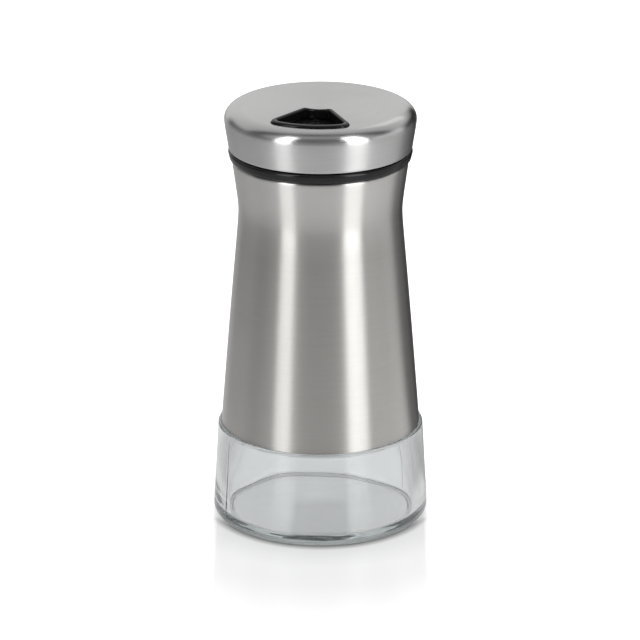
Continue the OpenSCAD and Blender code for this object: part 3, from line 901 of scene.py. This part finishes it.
def brushing_group():
    """Lines left by a pad held against a turning part: noise that is slow round Z and quick along the
    profile, whose length is height less radius. Fine is the lines and Broad is slow bands of them."""
    group, n, leave, (per_mm, broken) = new_group(
        "brushing_round_axis", [("Lines per mm", 6.0), ("Broken", 1.0)], ["Fine", "Broad"])
    place = n.place()
    x, y, z = (n.part(place, axis) for axis in range(3))
    radius = n.most(n.math("SQRT", n.math("ADD", n.times(x, x), n.times(y, y))), LEAST_RADIUS)
    along = n.math("SUBTRACT", z, radius)
    cosine, sine = n.math("DIVIDE", x, radius), n.math("DIVIDE", y, radius)
    fine = n.add("CombineXYZ", X=n.times(cosine, broken), Y=n.times(sine, broken),
                 Z=n.times(along, n.times(per_mm, 1 / MM)))
    broad = n.add("CombineXYZ", X=cosine, Y=sine, Z=n.times(along, BROAD_PER_MM / MM))
    n.fill(leave, Fine=n.noise(fine.outputs[0], 1.0, 3.0, 0.62),
           Broad=n.noise(broad.outputs[0], 1.0, 4.0, 0.55))
    return group


def handling_group():
    """Smears that fingers leave: soft noise cut off low, so that most of the surface is clean."""
    group, n, leave, (size,) = new_group("handling_smears", [("Size mm", 9.0)], ["Smear"])
    cloud = n.noise(n.place(), n.math("DIVIDE", 1 / MM, size), 5.0, 0.6, 0.8)
    n.fill(leave, Smear=n.ramp(cloud, 0.5, 0.72, 0.0, 1.0))
    return group


def grain_group():
    """The skin of a moulding: the fine pits of a spark-worn mould, and slow waves under them."""
    group, n, leave, (size,) = new_group("moulded_skin", [("Grain mm", 0.18)], ["Grain", "Wave"])
    n.fill(leave, Grain=n.noise(n.place(), n.math("DIVIDE", 1 / MM, size), 3.0, 0.6),
           Wave=n.noise(n.place(), 0.12 / MM, 2.0))
    return group


BRUSHING = brushing_group()
HANDLING = handling_group()
GRAIN = grain_group()


# ---- finishes

def brushed_steel(name, bright, dark, roughness, spread, lines_per_mm, bump, finer, painted_light=None):
    """Stainless sheet brushed round its axis. The highlight spreads across the lines, because the
    tangent runs round Z, and the lines vary colour, roughness and surface. finer is the height where
    a smoother finish begins, the height where it is reached and its roughness, and the last argument
    is the same for a painted highlight: a brighter colour painted over a band of heights, with that
    colour."""
    material, n, shader = new_material(name)
    lines = n.group(BRUSHING, Lines_per_mm=lines_per_mm, Broken=2.2)
    fine, broad = lines["Fine"], lines["Broad"]
    smear = n.group(HANDLING, Size_mm=14.0)["Smear"]
    height = n.part(n.place(), 2)
    colour = n.mix(n.ramp(n.blend(fine, broad, 0.65), *MIDDLE, 0, 1), dark, bright)
    # Painted light: a brighter colour painted over a band of heights.
    if painted_light:
        colour = n.mix(n.ramp(height, painted_light[0] * MM, painted_light[1] * MM, 0.0, 0.8), colour, painted_light[2])
    rough = n.ramp(n.blend(fine, broad, 0.5), *MIDDLE, roughness - 0.04, roughness + 0.04)
    rough = n.times(rough, n.ramp(height, finer[0] * MM, finer[1] * MM, 1.0, finer[2] / roughness))
    tangent = n.add("Tangent", {"direction_type": "RADIAL", "axis": "Z"}).outputs[0]
    n.fill(shader, Base_Color=colour, Metallic=1.0,
           Roughness=n.math("ADD", rough, n.times(smear, 0.03)), Anisotropic=spread,
           Anisotropic_Rotation=0.25, Tangent=tangent, Normal=n.bump(fine, 0.35, bump * MM))
    return material


def black_plastic(name, tint, roughness, grain_mm, shine):
    """Moulded black plastic: near-black with a faint tint, its gloss broken by the mould's skin."""
    material, n, shader = new_material(name)
    skin = n.group(GRAIN, Grain_mm=grain_mm)
    smear = n.group(HANDLING, Size_mm=5.0)["Smear"]
    rough = n.ramp(skin["Wave"], *MIDDLE, roughness - 0.05, roughness + 0.05)
    light = tuple(1.6 * c for c in tint[:3]) + (1,)
    n.fill(shader, Base_Color=n.mix(n.ramp(skin["Grain"], *GRAINS, 0, 1), tint, light),
           Roughness=n.math("ADD", rough, n.times(smear, 0.05)), Specular_IOR_Level=shine,
           Normal=n.bump(skin["Grain"], 0.3, 0.003 * MM))
    return material


GLASS_COLOUR = (0.76, 0.795, 0.80, 1)       # what a length of it lets through
GLASS_DENSITY = 38.0                        # how much it absorbs, a metre
RIPPLE_SCALE = (0.05 / MM, 0.05 / MM, 0.16 / MM)
CHILL_SCALE = (0.14 / MM, 0.14 / MM, 0.7 / MM)
CHILL_HEIGHT = (4.5 * MM, 2.5 * MM, 0.0, 2.2)
STIPPLE_HEIGHT = (0.9 * MM, 0.3 * MM, 0.0, 1.0)
STIPPLE_AWAY = ((REST_IN_R - 0.4) * MM, (REST_IN_R + 0.1) * MM, 0.0, 0.45)


def jar_glass(name):
    """Pressed soda glass: clear, a little blue-green in its depth. Its skin ripples faintly, more so
    near the foot where the mould chilled it, and the ring it stands on is stippled."""
    material, n, shader = new_material(name, (GLASS_COLOUR, GLASS_DENSITY))
    height = n.part(n.place(), 2)
    ripple = n.noise(n.scaled(n.place(), RIPPLE_SCALE), 1.0, 2.0)
    chill = n.times(n.noise(n.scaled(n.place(), CHILL_SCALE), 1.0, 1.0), n.ramp(height, *CHILL_HEIGHT))
    stipple = n.times(n.ramp(n.length(n.place()), *STIPPLE_AWAY), n.ramp(height, *STIPPLE_HEIGHT))
    n.fill(shader, Base_Color=(0.97, 0.98, 0.98, 1), Metallic=0.0, Roughness=stipple, IOR=1.51,
           Transmission_Weight=1.0, Normal=n.bump(n.math("ADD", ripple, chill), 0.25, 0.08 * MM))
    return material


def soft_plain(name, colour, other, roughness, size_mm):
    """Silicone or adhesive: a soft even colour that clouds a little."""
    material, n, shader = new_material(name)
    cloud = n.noise(n.place(), 1 / (size_mm * MM), 3.0)
    skin = n.group(GRAIN, Grain_mm=0.3)
    n.fill(shader, Base_Color=n.mix(n.ramp(cloud, *CLOUDS, 0, 1), colour, other), Roughness=roughness,
           Normal=n.bump(skin["Grain"], 0.2, 0.02 * MM))
    return material


def zinc_steel(name):
    """Zinc-bright steel of the screw and its washer: smooth, with a slow change of tone."""
    material, n, shader = new_material(name)
    cloud = n.noise(n.place(), 0.8 / MM, 3.0)
    tone = n.mix(n.ramp(cloud, *MIDDLE, 0, 1), (0.5, 0.5, 0.49, 1), (0.66, 0.67, 0.69, 1))
    n.fill(shader, Base_Color=tone, Metallic=1.0, Roughness=n.ramp(cloud, *MIDDLE, 0.22, 0.34),
           Normal=n.bump(cloud, 0.1, 0.05 * MM))
    return material


# ---- the pieces

SLEEVE_STEEL = brushed_steel(
    "sleeve_brushed_steel", bright=(0.66, 0.65, 0.625, 1), dark=(0.585, 0.575, 0.552, 1),
    roughness=0.38, spread=0.97, lines_per_mm=9.0, bump=0.0035,
    finer=(WAIST_Z - 7, WAIST_Z + 6, 0.3),
    # Painted light: the flare above the waist is painted a brighter colour, where it catches more light.
    painted_light=(WAIST_Z - 8, WAIST_Z + 8, (0.76, 0.75, 0.728, 1)))
CAP_STEEL = brushed_steel(
    "cap_brushed_steel", bright=(0.74, 0.737, 0.733, 1), dark=(0.67, 0.667, 0.664, 1),
    roughness=0.38, spread=0.88, lines_per_mm=10.0, bump=0.003,
    finer=(TOP_Z - CAP_ROUND_H - 1.0, TOP_Z - 1.6, 0.19))
RING_PLASTIC = black_plastic("satin_black_plastic", (0.008, 0.008, 0.009, 1),
                             roughness=0.12, grain_mm=0.16, shine=0.4)
FRAME_PLASTIC = black_plastic("glossy_black_plastic", (0.005, 0.005, 0.0055, 1),
                              roughness=0.13, grain_mm=0.4, shine=0.28)
GLASS = jar_glass("clear_glass")
SILICONE = soft_plain("silicone", (0.6, 0.6, 0.58, 1), (0.7, 0.7, 0.68, 1), roughness=0.5, size_mm=2.0)
ADHESIVE = soft_plain("clear_adhesive", (0.7, 0.7, 0.67, 1), (0.8, 0.8, 0.77, 1), roughness=0.45,
                      size_mm=3.0)
ZINC = zinc_steel("zinc_steel")

add_piece("jar_of_clear_glass", glass_jar_shape(), "jar", ["glass_jar"], GLASS)
add_piece("sleeve_of_brushed_steel", steel_sleeve_shape(), "jar", ["steel_sleeve"],
          SLEEVE_STEEL)
add_piece("beads_of_adhesive", sleeve_adhesive_shape(), "jar", ["sleeve_adhesive"],
          ADHESIVE)
add_piece("ring_seal", lid_gasket_shape(), "gasket", ["lid_gasket"], SILICONE)
add_piece("threaded_base_and_deck", lid_base_shape(), "lid", ["lid_base"], RING_PLASTIC)
add_piece("dial_body_and_window_frame", dial_insert_shape(), "dial", ["dial_insert"],
          FRAME_PLASTIC)
add_piece("cap_of_brushed_steel", steel_cap_shape(), "dial", ["steel_cap"], CAP_STEEL)
add_piece("washer", washer_shape(), "dial", ["pivot_washer"], ZINC)

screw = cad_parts["pivot_screw"]
screw.data.materials.clear()
screw.data.materials.append(ZINC)


# ---- camera and lamps

CAMERA_ELEVATION = 19.97
CAMERA_DISTANCE = 1.0034    # metres from the point it looks at
CAMERA_AIM_Z = 0.05109
FOCAL_PIXELS = 3953.8       # focal length in a picture 640 pixels wide
PICTURE_PIXELS = 640
AXIS_PIXEL = 320.44         # column of the picture in which the part's axis stands
SENSOR = 36.0


def direction(azimuth, elevation):
    """Unit vector towards a place round the part: azimuth 0 is -Y and 90 is +X."""
    a, e = math.radians(azimuth), math.radians(elevation)
    return Vector((math.sin(a) * math.cos(e), -math.cos(a) * math.cos(e), math.sin(e)))


def look(name, data, azimuth, elevation, distance, aim_z):
    """An object with this data, at a distance from a point on the axis and looking at it."""
    item = put(name, data)
    aim = Vector((0, 0, aim_z))
    item.location = aim + distance * direction(azimuth, elevation)
    item.rotation_mode = "QUATERNION"
    item.rotation_quaternion = (aim - item.location).to_track_quat("-Z", "Y")
    return item


def make_camera():
    lens = bpy.data.cameras.new("camera")
    lens.sensor_width = SENSOR
    lens.lens = FOCAL_PIXELS / PICTURE_PIXELS * SENSOR
    lens.shift_x = (PICTURE_PIXELS / 2 - AXIS_PIXEL) / PICTURE_PIXELS
    lens.clip_start, lens.clip_end = 0.05, 50
    scene.camera = look("camera", lens, CAMERA_AZIMUTH, CAMERA_ELEVATION, CAMERA_DISTANCE, CAMERA_AIM_Z)


def add_lamp(name, azimuth, elevation, distance, width, height, power, aim_z):
    """A soft box at an azimuth from the camera, facing the part. Power is in watts."""
    lamp = bpy.data.lights.new(name, "AREA")
    lamp.shape = "RECTANGLE"
    lamp.size, lamp.size_y = width, height
    lamp.energy = power
    look(name, lamp, CAMERA_AZIMUTH + azimuth, elevation, distance, aim_z)


# ---- floor and room

# Ramps on the floor: two distances in metres, and the values at them and beyond.
# Over the distance from the axis
# Painted shade: the glow the camera sees is lower near the part than far off.
FLOOR_GLOW = (0.05, 0.5, 0.53, 0.65)
# Painted light: glow added far from the part.
FLOOR_BEYOND = (0.05, 0.1, 0.0, 0.3)
FLOOR_FADE = (0.1, 0.25, 1.0, 0.05)
# Painted shade round the foot, in the glow the camera sees.
FOOT_SHADE = (0.024, 0.04, 0.7, 1.0)
# Painted contact shadow: a dark ring round the foot, in the floor's glow and colour.
CONTACT_IN = (0.0245, 0.0255, 1.0, 0.3)
CONTACT_OUT = (0.0262, 0.0288, 0.3, 1.0)
GLASS_FLOOR = (0.024, 0.036, 0.42, 0.36)
# Over the distance from the axis towards the camera
# Painted light: glow added behind the part.
FLOOR_BEHIND = (-0.03, 0.02, 0.2, 0.0)
# Keeps the painted contact shadow to the front of the foot.
CONTACT_BEHIND = (0.007, 0.016, 1.0, 0.0)
# Painted shade: a darker panel in the floor's glow as the glass shows it.
PANEL_NEAR = (-0.007, -0.001, 0.0, 0.25)
# Over the distance to either side of the axis
# Painted light: glow added beside the part, which gives the painted shade in front of the foot straight
# sides.
FLOOR_BESIDE = (0.0262, 0.0275, 0.0, 0.3)
# Painted shade: the glow the glass shows falls off to the sides.
GLASS_BESIDE = (0.026, 0.06, 1.08, 0.42)
# Width of the painted darker panel.
PANEL_SIDE = (0.0064, 0.0078, 1.0, 0.0)

# Pairs of azimuth from the camera and a value: the glow painted into the floor for the steel, how much
# of the floor's colour is painted dark for the steel, and how bright the walls are for steel and for
# glass
FLOOR_BANDS = ((-180, 0.4), (-140, 0.35), (-76, 0.35), (-62, 0.42), (-46, 0.36), (-34, 0.4), (34, 0.4),
               (46, 0.36), (62, 0.5), (108, 0.5), (120, 0), (170, 0), (178, 0.3), (180, 0.4))
PAINTED_DARK_FOR_STEEL = ((-180, 0), (112, 0), (120, 0.5), (136, 0.6), (142, 1), (174, 1), (179, 0), (180, 0))
ROOM_WALLS = ((-180, 0.68), (-150, 0.64), (-135, 0.15), (-75, 0.13), (-60, 0.2), (0, 0.23), (30, 0.25),
              (60, 0.42), (72, 0.78), (110, 0.72), (122, 0.12), (134, 0.03), (162, 0.03), (168, 0.64),
              (180, 0.68))
GLASS_SIDE = ((60, 0.4), (112, 0.3), (126, 0.05), (140, 0.35), (160, 0.53), (180, 0.6))
GLASS_WALLS = (*((-azimuth, bright) for azimuth, bright in GLASS_SIDE[::-1]), (0, 0.38), *GLASS_SIDE)
# The ceiling's brightness from its far end to its near end, as the camera stands
CEILING = ((-1, 0.68), (-0.75, 0.6), (-0.4, 0.5), (-0.22, 0.42), (-0.1, 0.1), (0.1, 0.1),
           (0.28, 0.36), (0.5, 0.36), (0.64, 0.12), (1, 0.14))
CEILING_FROM = (0.2, 0.45, 0, 1)    # over the height of a direction: walls at first, then ceiling

FLOOR_HALF = 3.0        # metres
FLOOR_DROP = 0.02       # millimetres
WHITE = (1, 1, 1, 1)
PLAIN_LIGHT = (0.51, 0.51, 0.515, 1)


def make_floor():
    """A pale floor with shade and light painted into it. For the camera a glow lifts it to white, all but
    a painted shade and a painted contact shadow round the foot. Through the glass its glow has a painted
    darker panel in the middle. Steel sees it under the lamps, with a painted glow in bands round the part
    and a painted dark side to the right and behind."""
    material, n, shader = new_material("pale_floor")
    path = n.add("LightPath").outputs
    away = n.length(n.place())
    turned = n.turned(n.place())
    toward, side = n.part(turned, 0), n.math("ABSOLUTE", n.part(turned, 1))

    # Painted contact shadow round the front of the foot.
    contact = n.most(n.most(n.ramp(away, *CONTACT_IN), n.ramp(away, *CONTACT_OUT)),
                     n.ramp(toward, *CONTACT_BEHIND))
    # Painted light: glow added beside, behind and far from the part clears the lamps' shadows from the
    # floor.
    beyond = n.math("ADD", n.most(n.ramp(side, *FLOOR_BESIDE), n.ramp(away, *FLOOR_BEYOND)),
                    n.ramp(toward, *FLOOR_BEHIND))
    # The glow the camera sees, with the painted shade and painted contact shadow round the foot.
    camera = n.times(n.math("ADD", n.ramp(away, *FLOOR_GLOW), beyond),
                     n.times(n.ramp(away, *FOOT_SHADE), contact))
    # Painted shade: a darker panel in what the glass shows of the floor.
    panel = n.times(n.ramp(toward, *PANEL_NEAR), n.ramp(side, *PANEL_SIDE))
    glass = n.times(n.times(n.ramp(away, *GLASS_FLOOR), n.ramp(side, *GLASS_BESIDE)), n.left_of(panel))
    # Painted glow that steel sees in the floor, in bands round the part.
    painted_glow_for_steel = n.times(n.bands(n.place(), FLOOR_BANDS), n.ramp(away, *FLOOR_FADE))
    mirrored = n.times(path["Is Glossy Ray"], path["Is Reflection Ray"])
    glow = n.most(n.times(path["Is Camera Ray"], camera),
                  n.most(n.times(path["Is Transmission Ray"], glass), n.times(mirrored, painted_glow_for_steel)))
    # The floor's colour is painted dark by the contact shadow, and for steel by a dark sector.
    left_by_painted_shade = n.times(contact, n.left_of(n.times(mirrored, n.bands(n.place(), PAINTED_DARK_FOR_STEEL))))
    pale = n.mix(n.noise(n.place(), 3.0, 2.0), (0.54, 0.54, 0.54, 1), (0.56, 0.56, 0.56, 1))
    n.fill(shader, Base_Color=n.mix(left_by_painted_shade, (0.02, 0.02, 0.02, 1), pale), Roughness=0.25,
           Specular_IOR_Level=0.7, Emission_Color=WHITE, Emission_Strength=glow)

    mesh = bpy.data.meshes.new("floor")
    corners = np.array([(-1, -1), (1, -1), (1, 1), (-1, 1)]) * FLOOR_HALF
    corners = columns(corners, np.full(4, -FLOOR_DROP * MM))
    mesh.from_pydata(corners, [], [(0, 1, 2, 3)])
    mesh.materials.append(material)
    put("floor", mesh)


def make_world():
    """A pale room: white to the camera, and plain grey for the light it gives. Steel and glass see
    their own walls, whose brightness changes round the part, and a ceiling over them that changes
    from its far end to its near end."""
    world = bpy.data.worlds.new("room")
    scene.world = world
    world.use_nodes = True
    world.node_tree.nodes.clear()
    n = Nodes(world.node_tree)
    path = n.add("LightPath").outputs
    view = n.add("TexCoord").outputs["Generated"]
    walls = n.mix(path["Is Transmission Ray"], n.bands(view, ROOM_WALLS), n.bands(view, GLASS_WALLS))
    room = n.mix(n.ramp(n.part(view, 2), *CEILING_FROM), walls,
                 n.levels(n.part(n.turned(view), 0), CEILING))
    plain = n.mix(n.most(path["Is Glossy Ray"], path["Is Transmission Ray"]), PLAIN_LIGHT, room)
    background = n.add("Background", Color=n.mix(path["Is Camera Ray"], plain, WHITE), Strength=1.0)
    n.add("OutputWorld", Surface=background.outputs[0])


make_camera()
make_floor()
make_world()
for name, azimuth, width, power in (("strip_left", -44, 0.185, 1.23), ("strip_right", 44, 0.235, 1.88)):
    add_lamp(name, azimuth, elevation=0, distance=0.55, width=width, height=0.95, power=power, aim_z=0.46)
add_lamp("overhead", 158, elevation=40, distance=0.9, width=0.3, height=0.3, power=0.08, aim_z=0.05)

scene.view_settings.view_transform = "Standard"
scene.cycles.max_bounces = 24           # light runs along the inside of thick glass
scene.cycles.glossy_bounces = 16
scene.cycles.transmission_bounces = 24
